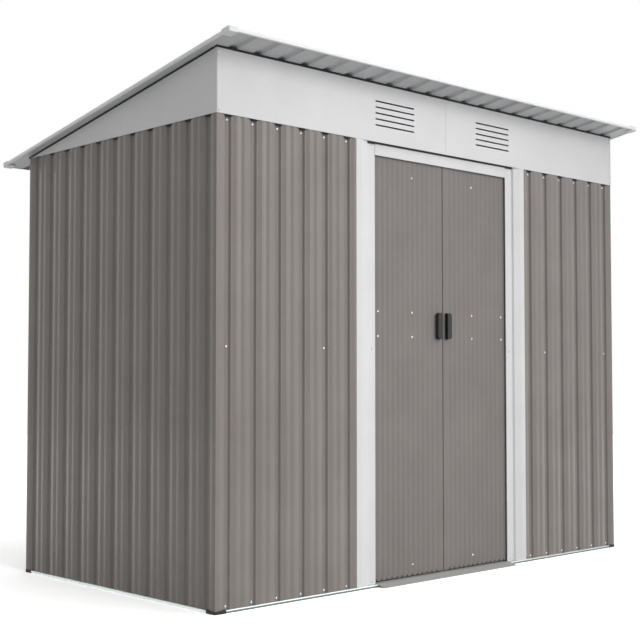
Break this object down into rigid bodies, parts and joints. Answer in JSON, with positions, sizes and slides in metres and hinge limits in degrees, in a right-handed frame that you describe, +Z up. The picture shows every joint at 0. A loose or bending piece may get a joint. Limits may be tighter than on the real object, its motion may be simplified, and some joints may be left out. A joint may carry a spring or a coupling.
{
  "type": "metal storage shed",
  "caption": "Metal garden shed with ribbed sheet walls, a ribbed roof sloping to the rear, a white vented fascia and sliding doors with pulls, for storing tools and cycles.",
  "frame": {"origin": "on the ground under the middle of the roof's plan", "axes": "+X along the front, from the left wall to the right wall; +Y from the front to the rear; +Z up"},
  "size_m": [2.13, 1.3028, 1.7021],
  "materials": {
    "wall_paint": "satin taupe coil-coated steel sheet",
    "white_paint": "satin white coil-coated steel sheet",
    "roof_paint": "satin pale grey coil-coated steel sheet",
    "grey_paint": "matt grey painted steel strip",
    "zinc": "hot-dip galvanised strip",
    "black_plastic": "moulded black plastic",
    "cap_plastic": "moulded pale grey plastic",
    "nylon": "moulded natural nylon"
  },
  "bodies": {
    "shed": {"front_left_wall": "wall_paint", "front_right_wall": "wall_paint", "left_wall": "wall_paint", "right_wall": "wall_paint", "rear_wall_left": "wall_paint", "rear_wall_middle": "wall_paint", "rear_wall_right": "wall_paint", "door_track": "wall_paint", "left_door_jamb": "white_paint", "right_door_jamb": "white_paint", "door_lintel": "white_paint", "front_fascia_left": "white_paint", "front_fascia_right": "white_paint", "left_gable": "white_paint", "right_gable": "white_paint", "roof_front_trim": "white_paint", "roof_rear_trim": "white_paint", "roof_left_trim": "white_paint", "roof_right_trim": "white_paint", "roof_panel_left": "roof_paint", "roof_panel_middle": "roof_paint", "roof_panel_right": "roof_paint", "front_floor_rail": "zinc", "rear_floor_rail": "zinc", "left_floor_rail": "zinc", "right_floor_rail": "zinc", "front_top_rail": "zinc", "rear_top_rail": "zinc", "left_top_rail": "zinc", "right_top_rail": "zinc", "roof_beam": "zinc", "left_wall_brace": "zinc", "right_wall_brace": "zinc", "rear_wall_brace": "zinc", "front_wall_braces": "zinc", "door_sill": "grey_paint", "corner_feet": "black_plastic", "roof_corner_caps": "cap_plastic"},
    "left_door": {"left_door_leaf": "wall_paint", "left_door_rails": "zinc", "left_door_gliders": "nylon", "left_door_handle": "black_plastic"},
    "right_door": {"right_door_leaf": "wall_paint", "right_door_rails": "zinc", "right_door_gliders": "nylon", "right_door_handle": "black_plastic"}
  },
  "joints": [
    {"name": "left_door_slide", "type": "slide", "parent": "shed", "child": "left_door", "axis": [-1, 0, 0], "range_m": [0, 0.307]},
    {"name": "right_door_slide", "type": "slide", "parent": "shed", "child": "right_door", "axis": [1, 0, 0], "range_m": [0, 0.307]}
  ]
}
